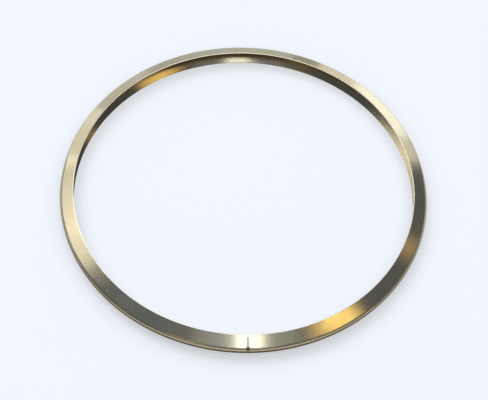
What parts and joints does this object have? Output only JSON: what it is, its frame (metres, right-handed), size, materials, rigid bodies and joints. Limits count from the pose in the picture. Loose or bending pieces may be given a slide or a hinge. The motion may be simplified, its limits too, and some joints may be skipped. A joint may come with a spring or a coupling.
{
  "type": "turbocharger gasket",
  "caption": "Exhaust seal ring rolled from one metal strip to a V section, with a round nose outside and the mouth open to the bore, for a clamped turbocharger flange joint.",
  "frame": {"origin": "centre of the ring, in the plane of the lower lip that it lies on", "axes": "+Z along the ring's axis, away from the surface it lies on; the butt weld is at -Y"},
  "size_m": [0.105, 0.105, 0.0053],
  "materials": {
    "heat_tinted_steel": "satin"
  },
  "bodies": {
    "root": {"seal_ring": "heat_tinted_steel"}
  },
  "joints": []
}
